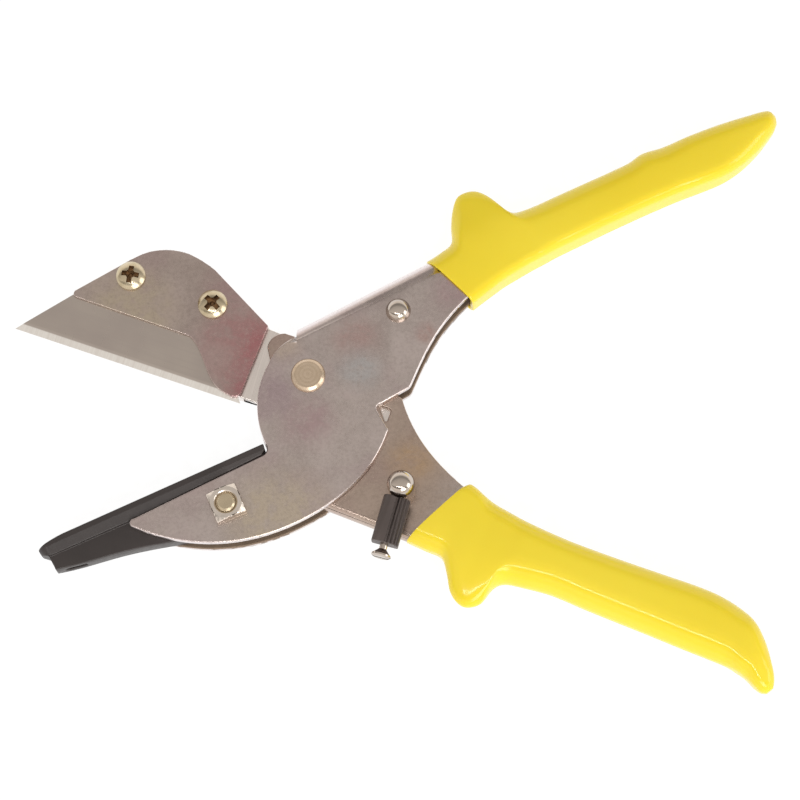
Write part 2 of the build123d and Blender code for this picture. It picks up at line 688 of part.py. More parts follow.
with BuildPart() as latch_barrel:
    # rounded sleeve with a flat underside
    with BuildSketch(Plane(origin=LATCH_PLANE.origin + LATCH_PLANE.x_dir * BARREL_START, x_dir=(0, 0, 1),
                           z_dir=LATCH_PLANE.x_dir)) as barrel_section:
        with Locations((LATCH_Z, 0)):
            Rectangle(BARREL_H, BARREL_W)
        fillet(barrel_section.vertices().group_by(Axis.X)[-1], BARREL_ROUND)
        fillet(barrel_section.vertices().group_by(Axis.X)[0], 0.5)
        with Locations(*FLUTES):
            Circle(FLUTE_R, mode=Mode.SUBTRACT)
    extrude(amount=BARREL_END - BARREL_START)
    with BuildSketch(LATCH_PLANE.offset(LATCH_FLOOR)):
        with Locations((6.5, 0)):
            Rectangle(9.0, TANG_W)
        Circle(LATCH_EYE_R, mode=Mode.ADD)
    extrude(amount=LATCH_EYE_T, mode=Mode.SUBTRACT)
    with Locations((LATCH_AT[0], LATCH_AT[1], LATCH_BALL_Z)):
        Cylinder(LATCH_BALL_R + 0.12, 8, mode=Mode.SUBTRACT)
    with BuildSketch(Plane(origin=LATCH_PLANE.origin + LATCH_PLANE.x_dir * (BARREL_END - 3.0)
                           + Vector(0, 0, LATCH_Z), z_dir=LATCH_PLANE.x_dir)):
        Circle(1.0)
    extrude(amount=4.0, mode=Mode.SUBTRACT)

with BuildPart() as latch_screw:
    # shank, thin neck and flared end, turned about the barrel's axis
    with BuildSketch(Plane(origin=LATCH_PLANE.origin + Vector(0, 0, LATCH_Z), x_dir=LATCH_PLANE.x_dir,
                           z_dir=-LATCH_PLANE.y_dir)):
        with BuildLine():
            Polyline(
                (BARREL_END - 3.0, 0),
                (BARREL_END - 3.0, LATCH_NECK_R),
                (BARREL_END + 1.4, LATCH_NECK_R),
                (LATCH_END - 0.8, LATCH_HEAD_R),
                (LATCH_END - 0.4, LATCH_HEAD_R),
                (LATCH_END, LATCH_HEAD_R - 0.6),
                (LATCH_END, 0),
                close=True,
            )
        make_face()
    revolve(axis=Axis(origin=(LATCH_AT[0], LATCH_AT[1], LATCH_Z), direction=LATCH_PLANE.x_dir))
    # driver slot
    with BuildSketch(LATCH_PLANE.offset(LATCH_Z - 0.35)):
        with Locations((LATCH_END, 0)):
            Rectangle(1.0, 2 * LATCH_HEAD_R + 1)
    extrude(amount=0.7, mode=Mode.SUBTRACT)

# ---------------------------------------------------------------- export
PARTS = {
    "body_shell": body_shell,
    "anvil": anvil,
    "anvil_screw": anvil_screw,
    "anvil_nut": anvil_nut,
    "pivot_rivet": pivot_rivet,
    "pivot_washer": pivot_washer,
    "upper_post": upper_post,
    "return_spring": return_spring,
    "upper_grip": upper_grip,
    "lever_shell": lever_shell,
    "pivot_bush": pivot_bush,
    "blade_arm": blade_arm,
    "arm_rivets": arm_rivets,
    "blade": blade,
    "clamp_plate": clamp_plate,
    "clamp_screws": clamp_screws,
    "lower_grip": lower_grip,
    "latch_post": latch_post,
    "latch_spacer": latch_spacer,
    "latch_eye": latch_eye,
    "latch_barrel": latch_barrel,
    "latch_screw": latch_screw,
}

os.makedirs("parts", exist_ok=True)
for label, piece in PARTS.items():
    piece.part.label = label
    export_step(piece.part, f"parts/{label}.step")
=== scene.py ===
import math

import bmesh
import bpy
from mathutils import Matrix, Vector


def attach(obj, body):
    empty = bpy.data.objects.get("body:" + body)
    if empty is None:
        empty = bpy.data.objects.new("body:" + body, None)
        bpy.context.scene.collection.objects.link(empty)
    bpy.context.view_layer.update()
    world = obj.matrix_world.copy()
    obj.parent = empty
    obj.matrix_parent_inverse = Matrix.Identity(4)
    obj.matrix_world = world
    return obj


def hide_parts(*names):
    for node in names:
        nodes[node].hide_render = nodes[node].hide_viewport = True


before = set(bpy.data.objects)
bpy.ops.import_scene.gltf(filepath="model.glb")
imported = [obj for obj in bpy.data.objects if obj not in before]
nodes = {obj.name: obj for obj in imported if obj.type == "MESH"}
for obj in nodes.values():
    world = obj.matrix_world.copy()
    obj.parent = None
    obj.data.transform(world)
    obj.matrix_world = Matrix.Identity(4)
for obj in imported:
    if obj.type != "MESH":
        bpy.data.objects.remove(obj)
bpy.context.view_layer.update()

MM = 0.001
TAU = 2 * math.pi

# ---------------------------------------------------------------- sizes in mm, as in the CAD
Z_MID = 6.4                             # middle of the thickness
INNER_FACE = (5.8, 6.6)                 # heights below which the back ply's upward inner side gets painted shade, fading out between them
FOLD_CUT = (-4.2, -2.3, 9.0)            # x range and least y of the body's fold cut
SCREW_TOP = 11.4                        # top of the blade clamp's screw heads
CLAMP_SCREWS = ((-45.8, 27.5), (-24.7, 19.7))
# cross recess: depth from which its painted shade is darkest, depth above which it is unshaded and bright,
# reach from the axis
RECESS = (1.5, 0.7, 2.6)
BLADE_EDGE = (-75.36, 14.22, -19.47)    # a point on the cutting edge and its angle
BEVEL_BAND = (1.65, 1.95)               # where the bevel band along the edge ends
MERGE = 0.002                           # points nearer than this are one
CROWN = 0.09                            # how far a grip's faces bulge, as a part of its half thickness
THIN_FROM = 13.0                        # a grip's far side gets thinner beyond this width
THIN_RUN = 12.0                         # over this length
THIN_TO = 0.56                          # down to this part of its thickness
# rounded lip of a grip: inset and shift out of the mouth
LIP = ((0.75, 0.15), (0.30, 0.28), (0.08, 0.16))


# ---------------------------------------------------------------- mesh helpers
def mesh_piece(name, verts, faces, body, material, replaced=(), smooth=35):
    """A mesh from points in mm, shaded smooth below an angle, riding on a body."""
    mesh = bpy.data.meshes.new(name)
    mesh.from_pydata([Vector(v) * MM for v in verts], [], faces)
    mesh.validate()
    piece = bpy.data.objects.new(name, mesh)
    bpy.context.scene.collection.objects.link(piece)
    bm = bmesh.new()
    bm.from_mesh(mesh)
    bmesh.ops.recalc_face_normals(bm, faces=bm.faces)
    bm.to_mesh(mesh)
    bm.free()
    finish_piece(piece, body, material, replaced, smooth)
    return piece


def finish_piece(piece, body, material, replaced=(), smooth=35):
    """Material, shading and body of a new piece; the parts it replaces are hidden."""
    mesh = piece.data
    for polygon in mesh.polygons:
        polygon.use_smooth = True
    mesh.set_sharp_from_angle(angle=math.radians(smooth))
    mesh.materials.clear()
    mesh.materials.append(material)
    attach(piece, body)
    if replaced:
        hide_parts(*replaced)


def ring_loft(rings):
    """Points and faces of a closed skin over rings that have the same count."""
    count = len(rings[0])
    verts = [p for ring in rings for p in ring]
    faces = []
    for i in range(len(rings) - 1):
        for j in range(count):
            k = (j + 1) % count
            faces.append((i * count + j, i * count + k, (i + 1) * count + k, (i + 1) * count + j))
    last = (len(rings) - 1) * count
    faces.append(tuple(range(count)))
    faces.append(tuple(last + j for j in range(count)))
    return verts, faces


def catmull(points, steps):
    """Catmull-Rom spline through rows of numbers."""
    rows = [points[0]] + list(points) + [points[-1]]
    out = []
    for i in range(1, len(rows) - 2):
        for s in range(steps):
            t = s / steps
            row = []
            for a, b, c, d in zip(rows[i - 1], rows[i], rows[i + 1], rows[i + 2]):
                row.append(0.5 * (2 * b + (c - a) * t + (2 * a - 5 * b + 4 * c - d) * t * t
                                  + (3 * b - a - 3 * c + d) * t ** 3))
            out.append(row)
    out.append(list(points[-1]))
    return out


def section(a, b, half, round_a, round_b, steps=8):
    """Closed ring of a rounded bar section on the line from a to b; a wide one gets thinner towards a."""
    a = Vector((a[0], a[1], 0))
    b = Vector((b[0], b[1], 0))
    length = (b - a).length
    way = (b - a) / length
    round_a = min(round_a, 0.98 * half, 0.48 * length)
    round_b = min(round_b, 0.98 * half, 0.48 * length)
    corners = ((round_a, 1, round_a, 180), (length - round_b, 1, round_b, 90),
               (length - round_b, -1, round_b, 0), (round_a, -1, round_a, -90))
    arcs = []
    for u, side, radius, start in corners:
        arc = []
        for i in range(steps + 1):
            turn = math.radians(start - 90 * i / steps)
            arc.append((u + radius * math.cos(turn), side * (half - radius) + radius * math.sin(turn)))
        arcs.append(arc)
    ring = []
    for arc, after in zip(arcs, arcs[1:] + arcs[:1]):
        ring += arc
        for i in (1, 2, 3):
            ring.append(tuple(p + (q - p) * i / 4 for p, q in zip(arc[-1], after[0])))
    out = []
    for u, z in ring:
        crown = 0.93 + CROWN * (1 - (2 * u / length - 1) ** 2)
        far = min(1, max(0, (length - u - THIN_FROM) / THIN_RUN))
        thin = 1 - (1 - THIN_TO) * far * far * (3 - 2 * far)
        spot = a + way * u
        out.append((spot.x, spot.y, Z_MID + z * crown * thin))
    return out


def sleeve(name, ribs, cavity, material, body, replaced):
    """Dipped sleeve: outside ribs from mouth to tip, a rounded lip and a cavity round the handle."""
    def ring(rib, inset=0.0, shift=0.0):
        ax, ay, bx, by, half, round_a, round_b = rib
        way = Vector((bx - ax, by - ay)).normalized()
        out = Vector((way.y, -way.x)) * shift
        p = Vector((ax, ay)) + way * inset + out
        q = Vector((bx, by)) - way * inset + out
        return section(p, q, half - inset, max(0.5, round_a - inset), max(0.5, round_b - inset))

    rings = [ring(row) for row in catmull(cavity, 3)][::-1]
    rings += [ring(ribs[0], inset, shift) for inset, shift in LIP]
    rings += [ring(row) for row in catmull(ribs, 5)]
    verts, faces = ring_loft(rings)
    return mesh_piece(name, verts, faces, body, material, replaced, 50)


def modify(piece, kind, **settings):
    modifier = piece.modifiers.new(kind.title(), kind)
    for key, value in settings.items():
        setattr(modifier, key, value)
    return modifier


# ---------------------------------------------------------------- material helpers
class Shader:
    """Small builder for a node material around one Principled BSDF."""

    def __init__(self, name, **sockets):
        self.material = bpy.data.materials.new(name)
        self.material.use_nodes = True
        self.tree = self.material.node_tree
        self.bsdf = self.tree.nodes["Principled BSDF"]
        for key, value in sockets.items():
            self.bsdf.inputs[key].default_value = value
        texture = self.tree.nodes.new("ShaderNodeTexCoord")
        self.coords = texture.outputs["Object"]
        self.normal = texture.outputs["Normal"]
        self.flat = self.vector("MULTIPLY", self.coords, (1, 1, 0)).outputs[0]

    def node(self, kind, values=None, **props):
        made = self.tree.nodes.new(kind)
        for key, value in props.items():
            setattr(made, key, value)
        for key, value in (values or {}).items():
            if isinstance(value, bpy.types.NodeSocket):
                self.tree.links.new(value, made.inputs[key])
            else:
                made.inputs[key].default_value = value
        return made

    def vector(self, operation, a, b):
        return self.node("ShaderNodeVectorMath", {0: a, 1: b}, operation=operation)

    def link(self, source, target):
        self.tree.links.new(source, self.bsdf.inputs[target])

    def turned(self, angle=0, scale=(1, 1, 1), centre=(0, 0, 0)):
        """Object coordinates turned about Z and scaled; the texture's own X runs along the angle."""
        moved = self.node("ShaderNodeMapping", {0: self.coords, "Location": centre}, vector_type="TEXTURE")
        moved.inputs["Rotation"].default_value = (0, 0, math.radians(angle))
        return self.node("ShaderNodeMapping", {0: moved.outputs[0], "Scale": scale}).outputs[0]

    def noise(self, vector, scale, detail=4.0, rough=0.5, distort=0.0):
        """Noise whose scale is in repeats per metre."""
        return self.node("ShaderNodeTexNoise",
                         {"Vector": vector, "Scale": scale, "Detail": detail, "Roughness": rough,
                          "Distortion": distort}).outputs["Fac"]

    def ramp(self, source, *stops):
        """Colour ramp; a stop is (place, colour) or (place, grey)."""
        made = self.node("ShaderNodeValToRGB", {0: source})
        ramp = made.color_ramp
        while len(ramp.elements) < len(stops):
            ramp.elements.new(0.5)
        for element, (place, colour) in zip(ramp.elements, stops):
            element.position = place
            grey = not isinstance(colour, tuple)
            element.color = (colour, colour, colour, 1) if grey else (*colour, 1)
        return made.outputs[0]

    def range(self, source, low, high, start=0.0, end=1.0):
        return self.node("ShaderNodeMapRange", {0: source, 1: start, 2: end, 3: low, 4: high}).outputs[0]

    def mix(self, factor, a, b, blend="MIX"):
        made = self.node("ShaderNodeMix", data_type="RGBA", blend_type=blend)
        for socket, value in ((0, factor), (6, a), (7, b)):
            if isinstance(value, bpy.types.NodeSocket):
                self.tree.links.new(value, made.inputs[socket])
            elif socket == 0:
                made.inputs[0].default_value = value
            else:
                made.inputs[socket].default_value = (*value, 1)
        return made.outputs[2]

    def maths(self, operation, a, b=0.0):
        return self.node("ShaderNodeMath", {0: a, 1: b}, operation=operation).outputs[0]

    def away(self, x, y):
        """Distance in metres from an axis that stands on a place."""
        return self.vector("DISTANCE", self.flat, (x * MM, y * MM, 0)).outputs["Value"]

    def spot(self, x, y, inner, outer):
        """1 within inner mm of a place seen from the front, falling to 0 at outer mm."""
        values = {0: self.away(x, y), 1: inner * MM, 2: outer * MM, 3: 1.0, 4: 0.0}
        return self.node("ShaderNodeMapRange", values, interpolation_type="SMOOTHSTEP").outputs[0]

    def beside(self, x, y, angle):
        """Distance in metres to the left of a line through a place."""
        turn = math.radians(angle + 90)
        across = (math.cos(turn), math.sin(turn), 0)
        offset = (across[0] * x + across[1] * y) * MM
        return self.maths("SUBTRACT", self.vector("DOT_PRODUCT", self.coords, across).outputs["Value"], offset)

    def up_part(self, vector):
        """Z of a vector socket."""
        return self.node("ShaderNodeSeparateXYZ", {0: vector}).outputs["Z"]

    def bump(self, height, distance, strength=1.0):
        """Bump of a height in mm; a second call adds to the first."""
        values = {"Height": height, "Distance": distance * MM, "Strength": strength}
        normal = self.bsdf.inputs["Normal"]
        if normal.is_linked:
            values["Normal"] = normal.links[0].from_socket
        self.link(self.node("ShaderNodeBump", values).outputs[0], "Normal")


def times(colour, factors):
    return tuple(min(1.0, c * k) for c, k in zip(colour, factors))


def zinc(name, base=(0.565, 0.495, 0.47), tints=(), inner_shade_colour=None, edge_highlight_strength=1.0):
    """Zinc plated sheet: cloudy mauve and brown mottling, fine speckle and a painted highlight on the edges.

    A tint is (x, y, inner, outer, colour factors). inner_shade_colour is the colour of the painted shade on
    the back ply's inner side, edge_highlight_strength how bright the painted highlight on the edges gets.
    """
    s = Shader(name, Metallic=1.0)
    cloud = s.noise(s.coords, 75, 5, 0.6, 0.5)
    patch = s.noise(s.turned(20, (1, 1, 1), (0.03, 0.01, 0)), 42, 4, 0.6, 0.8)
    ragged = s.noise(s.coords, 240, 6, 0.7, 0.3)
    speck = s.noise(s.coords, 1300, 3, 0.7)
    fine = s.noise(s.coords, 3000, 2, 0.6)
    dark = times(base, (0.88, 0.86, 0.86))
    pale = times(base, (1.09, 1.09, 1.10))
    edge_highlight_colour = times(base, (1.60, 1.68, 1.76))
    colour = s.ramp(cloud, (0.32, dark), (0.5, base), (0.66, pale))
    colour = s.mix(s.range(patch, 0.0, 0.55, 0.47, 0.62), colour, times(base, (0.94, 0.86, 0.92)))
    for x, y, inner, outer, factors in tints:
        near = s.maths("MULTIPLY", s.spot(x, y, inner, outer), s.range(ragged, 0.35, 1.25, 0.35, 0.62))
        colour = s.mix(near, colour, times(base, factors))
    colour = s.mix(s.range(speck, 0.0, 0.42, 0.48, 0.72), colour, times(base, (0.68, 0.66, 0.64)))
    colour = s.mix(s.range(speck, 0.30, 0.0, 0.30, 0.46), colour, times(base, (1.25, 1.25, 1.22)))
    # painted highlight on the rounded edges and side faces, broken up by the speckle
    upward = s.up_part(s.normal)
    edge_highlight = s.maths("MULTIPLY", s.range(upward, 1.0, 0.0, 0.66, 0.84), s.range(upward, 0.0, 1.0, -0.2, 0.1))
    edge_highlight = s.maths("MULTIPLY", edge_highlight, s.range(speck, edge_highlight_strength, 0.75 * edge_highlight_strength, 0.4, 0.7))
    colour = s.mix(edge_highlight, colour, edge_highlight_colour)
    rough = s.maths("ADD", s.range(cloud, 0.24, 0.32, 0.3, 0.7), s.range(fine, -0.03, 0.05, 0.3, 0.7))
    if inner_shade_colour is not None:
        # painted shade: the back ply's upward inner side, in the gap between the plies, turns dark brown,
        # rougher and less metallic
        low = s.range(s.up_part(s.coords), 1.0, 0.0, *(z * MM for z in INNER_FACE))
        inner_shade_mask = s.maths("MULTIPLY", low, s.range(upward, 0.0, 1.0, 0.2, 0.5))
        colour = s.mix(inner_shade_mask, colour, s.ramp(ragged, (0.35, times(inner_shade_colour, (0.8, 0.8, 0.8))), (0.65, inner_shade_colour)))
        rough = s.maths("ADD", rough, s.range(inner_shade_mask, 0.0, 0.3))
        s.link(s.range(inner_shade_mask, 1.0, 0.55), "Metallic")
    s.link(colour, "Base Color")
    s.link(rough, "Roughness")
    s.bump(cloud, 0.04, 0.3)
    s.bump(speck, 0.006, 0.6)
    s.bump(fine, 0.003, 0.5)
    return s.material


def ground_steel(name, base, grain_angle, rough=0.3, across=2500, depth=0.008):
    """Ground steel with fine parallel marks."""
    s = Shader(name, Metallic=1.0)
    marks = s.noise(s.turned(grain_angle, (60, across, 300)), 1.0, 4, 0.65)
    cloud = s.noise(s.coords, 120, 3, 0.5)
    dark = tuple(c * 0.86 for c in base)
    pale = tuple(min(1, c * 1.08) for c in base)
    marked = s.ramp(marks, (0.3, dark), (0.7, pale))
    s.link(s.mix(s.range(cloud, 0, 0.5, 0.35, 0.7), marked, base), "Base Color")
    s.link(s.range(marks, rough - 0.05, rough + 0.09, 0.3, 0.7), "Roughness")
    s.bump(marks, depth, 0.6)
    return s.material


def blade_steel(name):
    """Smooth warm grey blade with a bevel band along its edge, painted pale partly for its grinding and partly
    as a highlight, and fine marks across the band.
    """
    s = Shader(name, Metallic=1.0)
    across = s.noise(s.turned(BLADE_EDGE[2] + 90, (50, 2600, 300)), 1.0, 4, 0.65)
    along = s.noise(s.turned(BLADE_EDGE[2], (40, 1500, 300)), 1.0, 3, 0.6)
    cloud = s.noise(s.coords, 60, 3, 0.5)
    from_edge = s.beside(*BLADE_EDGE)
    band = s.range(from_edge, 1.0, 0.0, *(d * MM for d in BEVEL_BAND))
    face = s.ramp(cloud, (0.35, (0.50, 0.44, 0.405)), (0.65, (0.56, 0.50, 0.45)))
    face = s.mix(s.range(along, 0.0, 0.35, 0.45, 0.7), face, (0.50, 0.445, 0.41))
    # the bevel band is painted pale, partly for its grinding and partly as a highlight
    ground_and_highlight = s.ramp(across, (0.3, (0.90, 0.86, 0.82)), (0.7, (1.0, 0.98, 0.94)))
    s.link(s.mix(band, face, ground_and_highlight), "Base Color")
    s.link(s.maths("ADD", s.range(band, 0.30, 0.36), s.range(across, -0.03, 0.06, 0.3, 0.7)), "Roughness")
    s.bump(s.maths("MULTIPLY", across, band), 0.006, 0.6)
    s.bump(along, 0.003, 0.4)
    return s.material


def turned_head(name, base, x, y, pitch=0.8, rough=0.28):
    """Riveted or turned head with rings about its axis."""
    s = Shader(name, Metallic=1.0)
    rings = s.maths("SINE", s.maths("MULTIPLY", s.away(x, y), TAU / (pitch * MM)))
    fine = s.noise(s.coords, 1500, 4, 0.6)
    cloud = s.noise(s.coords, 300, 4, 0.6)
    colour = s.ramp(cloud, (0.3, times(base, (0.86, 0.84, 0.80))), (0.7, base))
    s.link(s.mix(s.range(rings, 0.0, 0.3, -1.0, 1.0), colour, times(base, (0.72, 0.68, 0.62))), "Base Color")
    s.link(s.range(fine, rough - 0.04, rough + 0.08, 0.3, 0.7), "Roughness")
    s.bump(rings, 0.015, 0.4)
    s.bump(fine, 0.006, 0.5)
    return s.material


def plain_metal(name, base, rough, bump=0.004):
    """Small turned or polished hardware."""
    s = Shader(name, Metallic=1.0)
    fine = s.noise(s.coords, 900, 4, 0.6)
    cloud = s.noise(s.coords, 260, 3, 0.5)
    s.link(s.ramp(cloud, (0.3, tuple(c * 0.85 for c in base)), (0.7, base)), "Base Color")
    s.link(s.range(fine, rough - 0.04, rough + 0.07, 0.3, 0.7), "Roughness")
    s.bump(fine, bump, 0.6)
    return s.material


def recessed_screw(name, base, places, floor_z, top_z, reach):
    """Plated screw heads, bright on top, with painted shade that turns them dark brown down in the recess."""
    s = Shader(name, Metallic=1.0)
    fine = s.noise(s.coords, 900, 4, 0.6)
    cloud = s.noise(s.coords, 420, 3, 0.5)
    # painted shade: darker brown with depth in each cross recess
    down = s.range(s.up_part(s.coords), 1.0, 0.0, floor_z * MM, top_z * MM)
    near = s.maths("MAXIMUM", *(s.spot(x, y, reach - 0.2, reach) for x, y in places))
    recess_shade = s.maths("MULTIPLY", down, near)
    colour = s.ramp(cloud, (0.3, times(base, (0.80, 0.78, 0.72))), (0.7, base))
    # dark brown colour of the painted recess shade
    brown = s.ramp(fine, (0.4, (0.11, 0.065, 0.035)), (0.62, (0.34, 0.20, 0.10)))
    s.link(s.mix(recess_shade, colour, brown), "Base Color")
    s.link(s.maths("ADD", s.range(fine, 0.16, 0.27, 0.3, 0.7), s.range(recess_shade, 0.0, 0.3)), "Roughness")
    s.bump(fine, 0.006, 0.6)
    return s.material


def plastic(name, base, rough, bump=0.02, scale=700):
    """Satin moulded plastic."""
    s = Shader(name)
    fine = s.noise(s.coords, scale, 5, 0.65)
    cloud = s.noise(s.coords, 80, 3, 0.5)
    dark = times(base, (0.8, 0.8, 0.8))
    pale = times(base, (1.15, 1.15, 1.15))
    s.link(s.ramp(cloud, (0.3, dark), (0.7, pale)), "Base Color")
    s.link(s.range(fine, rough - 0.06, rough + 0.08, 0.3, 0.7), "Roughness")
    s.bump(fine, bump, 0.6)
    return s.material


def dipped_pvc(name):
    """Glossy dipped PVC with a soft waviness."""
    s = Shader(name, IOR=1.5)
    s.bsdf.inputs["Subsurface Weight"].default_value = 0.10
    s.bsdf.inputs["Subsurface Radius"].default_value = (1.0, 0.7, 0.1)
    s.bsdf.inputs["Subsurface Scale"].default_value = 0.0012
    wave = s.noise(s.coords, 45, 2, 0.5)
    cloud = s.noise(s.coords, 18, 2, 0.5)
    fine = s.noise(s.coords, 500, 3, 0.5)
    s.link(s.ramp(cloud, (0.3, (0.92, 0.71, 0.020)), (0.7, (0.95, 0.76, 0.040))), "Base Color")
    s.link(s.range(wave, 0.10, 0.17, 0.3, 0.7), "Roughness")
    s.bump(wave, 0.20, 0.35)
    s.bump(fine, 0.010, 0.25)
    return s.material


PURPLE = (0.92, 0.79, 0.85)
RED = (0.96, 0.76, 0.74)
KHAKI = (1.10, 1.08, 0.92)
GREY = (0.98, 1.08, 1.14)
BODY_TINTS = (
    (12, 9.5, 1, 9, (0.95, 0.80, 0.80)),        # below the fold
    (30, 11, 0.5, 4, RED),
    (37, 22, 1, 8, PURPLE),                     # at the upper grip
    (0, -12, 2, 10, PURPLE),
    (-9.5, -5, 2, 9, (0.86, 0.78, 0.86)),       # left of the pivot
    (-6, 8, 1, 6, (1.05, 1.0, 0.92)),
    (13, 1.6, 1, 8, GREY),
    (-7, -37, 4, 18, KHAKI),                    # the jaw's lower edge
    (-30, -22, 3, 12, (0.95, 0.88, 0.88)),
)
LEVER_TINTS = (
    (26, -22, 1, 9, (1.12, 1.0, 0.80)),         # tan round the latch
    (10, -15, 1, 8, (1.1, 1.0, 0.82)),
    (44, -36, 4, 16, (1.10, 1.25, 1.45)),       # grey at the lower grip
)
CLAMP_TINTS = (
    (-46, 18, 4, 16, (1.14, 1.16, 1.0)),        # khaki towards the blade's tip
    (-20, 24, 2, 10, (0.94, 0.80, 0.86)),
    (-18, 9, 4, 14, (0.98, 0.70, 0.76)),
    (-12, 8, 2, 9, (0.96, 0.52, 0.60)),         # strong red and purple at the right edge
    (-15, -2, 2, 9, (0.92, 0.54, 0.62)),
    (-24, 6, 1, 6, (1.02, 0.90, 0.94)),
)
# the dark brown given to the body here is painted shade on its back ply's inner side
ZINC_BODY = zinc("zinc_body", tints=BODY_TINTS, inner_shade_colour=(0.30, 0.22, 0.16))
ZINC_LEVER = zinc("zinc_lever", (0.49, 0.395, 0.335), tints=LEVER_TINTS, edge_highlight_strength=0.15)
ZINC_CLAMP = zinc("zinc_clamp", (0.50, 0.42, 0.385), tints=CLAMP_TINTS, edge_highlight_strength=0.5)
BLADE = blade_steel("blade_steel")
ARM = ground_steel("arm_steel", (0.90, 0.84, 0.80), 75, 0.30)
PALE = plain_metal("pale_steel", (0.72, 0.64, 0.55), 0.24)
SCREW = plain_metal("yellow_zinc", (0.66, 0.56, 0.40), 0.22)
NUT = plain_metal("nut_steel", (0.80, 0.73, 0.66), 0.20)
CROSS_SCREW = recessed_screw("cross_screw", (0.70, 0.61, 0.45), CLAMP_SCREWS, SCREW_TOP - RECESS[0],
                             SCREW_TOP - RECESS[1], RECESS[2])
BRIGHT = plain_metal("bright_steel", (0.60, 0.53, 0.47), 0.10)
PIVOT = turned_head("pivot_steel", (0.76, 0.62, 0.48), 0, 0, 1.0)
BRONZE = plain_metal("bronze", (0.70, 0.50, 0.26), 0.28)
SPRING = plain_metal("spring_steel", (0.36, 0.33, 0.31), 0.30)
ANVIL = plastic("anvil_plastic", (0.042, 0.034, 0.033), 0.42)
LATCH = plastic("latch_plastic", (0.098, 0.077, 0.071), 0.45)
PVC = dipped_pvc("grip_pvc")

CAD_LOOKS = {
    "lever_shell": ZINC_LEVER,
    "clamp_plate": ZINC_CLAMP,
    "blade": BLADE,
    "blade_arm": ARM,
    "anvil": ANVIL,
    "anvil_screw": SCREW,
    "anvil_nut": NUT,
    "pivot_rivet": PIVOT,
    "pivot_washer": PALE,
    "pivot_bush": BRONZE,
    "upper_post": BRIGHT,
    "return_spring": SPRING,
    "arm_rivets": PALE,
    "clamp_screws": CROSS_SCREW,
    "latch_post": BRIGHT,
    "latch_spacer": PALE,
    "latch_eye": PALE,
    "latch_barrel": LATCH,
    "latch_screw": BRIGHT,
}
for label, look in CAD_LOOKS.items():
    nodes[label].data.materials.clear()
    nodes[label].data.materials.append(look)

# ---------------------------------------------------------------- rounded edges of the pressed and cut parts
ROUNDED = {
    "lever_shell": (0.40, 4),
    "clamp_plate": (0.28, 3),
    "blade_arm": (0.35, 3),
    "anvil": (0.30, 3),
    "latch_barrel": (0.20, 2),
    "latch_eye": (0.2, 2),
    "anvil_nut": (0.25, 3),
}
for label, (radius, segments) in ROUNDED.items():
    modify(nodes[label], "WELD", merge_threshold=MERGE * MM)
    modify(nodes[label], "DECIMATE", decimate_type="DISSOLVE", angle_limit=math.radians(0.8))
    modify(nodes[label], "BEVEL", width=radius * MM, segments=segments, limit_method="ANGLE",
           angle_limit=math.radians(40), use_clamp_overlap=False, harden_normals=True)

# the body is a copy whose fold cut keeps its crisp corners
shell_mesh = nodes["body_shell"].data.copy()
bm = bmesh.new()
bm.from_mesh(shell_mesh)
bmesh.ops.remove_doubles(bm, verts=bm.verts, dist=MERGE * MM)
bmesh.ops.dissolve_limit(bm, angle_limit=math.radians(0.8), verts=bm.verts, edges=bm.edges)
weight = bm.edges.layers.float.new("bevel_weight_edge")
for edge in bm.edges:
    sharp = len(edge.link_faces) == 2 and edge.calc_face_angle() > math.radians(40)
    at_cut = any(FOLD_CUT[0] < v.co.x / MM < FOLD_CUT[1] and v.co.y / MM > FOLD_CUT[2] for v in edge.verts)
    edge[weight] = 1.0 if sharp and not at_cut else 0.0
bm.to_mesh(shell_mesh)
bm.free()
shell = bpy.data.objects.new("body_shell_rounded", shell_mesh)
bpy.context.scene.collection.objects.link(shell)
finish_piece(shell, "body", ZINC_BODY, ("body_shell",), 40)
modify(shell, "BEVEL", width=0.45 * MM, segments=4, limit_method="WEIGHT", use_clamp_overlap=False,
       harden_normals=True)

